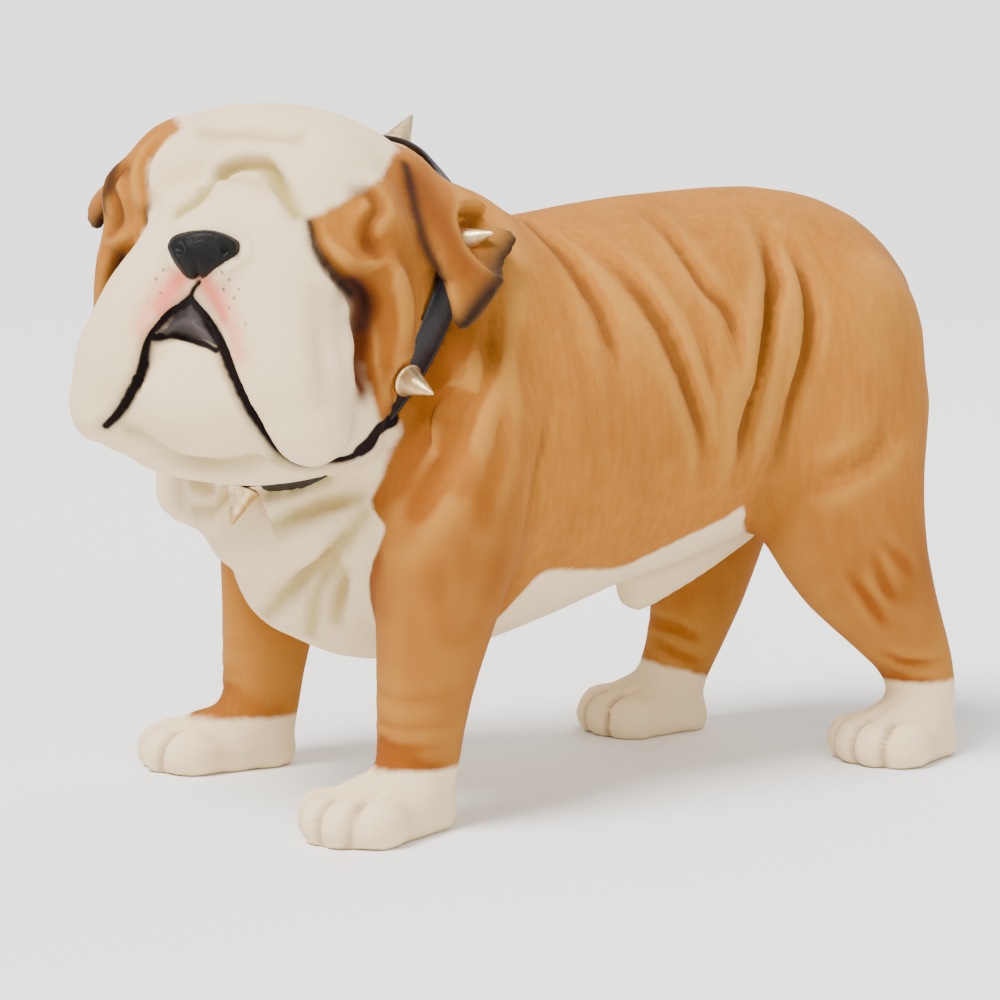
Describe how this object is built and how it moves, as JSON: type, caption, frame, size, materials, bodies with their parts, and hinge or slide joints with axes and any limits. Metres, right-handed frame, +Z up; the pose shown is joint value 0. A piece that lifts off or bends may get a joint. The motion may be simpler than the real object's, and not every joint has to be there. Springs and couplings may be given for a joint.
{
  "type": "bulldog statue",
  "caption": "Standing bulldog garden statue with its head turned to one side, loose skin folds, folded ears and a studded collar.",
  "frame": {"origin": "middle of the whole statue at ground level, under its bounding box", "axes": "+Z up, -Y the way the dog's body faces, +X the dog's left"},
  "size_m": [0.3782, 0.7086, 0.5077],
  "materials": {
    "coat": "painted cast resin with a short velvety flock, tan and white",
    "strap": "smooth black",
    "stud": "satin"
  },
  "bodies": {
    "root": {"bulldog": "coat", "collar_band": "strap", "collar_stud_1": "stud", "collar_stud_2": "stud", "collar_stud_3": "stud", "collar_stud_4": "stud", "collar_stud_5": "stud", "collar_stud_6": "stud"}
  },
  "joints": []
}
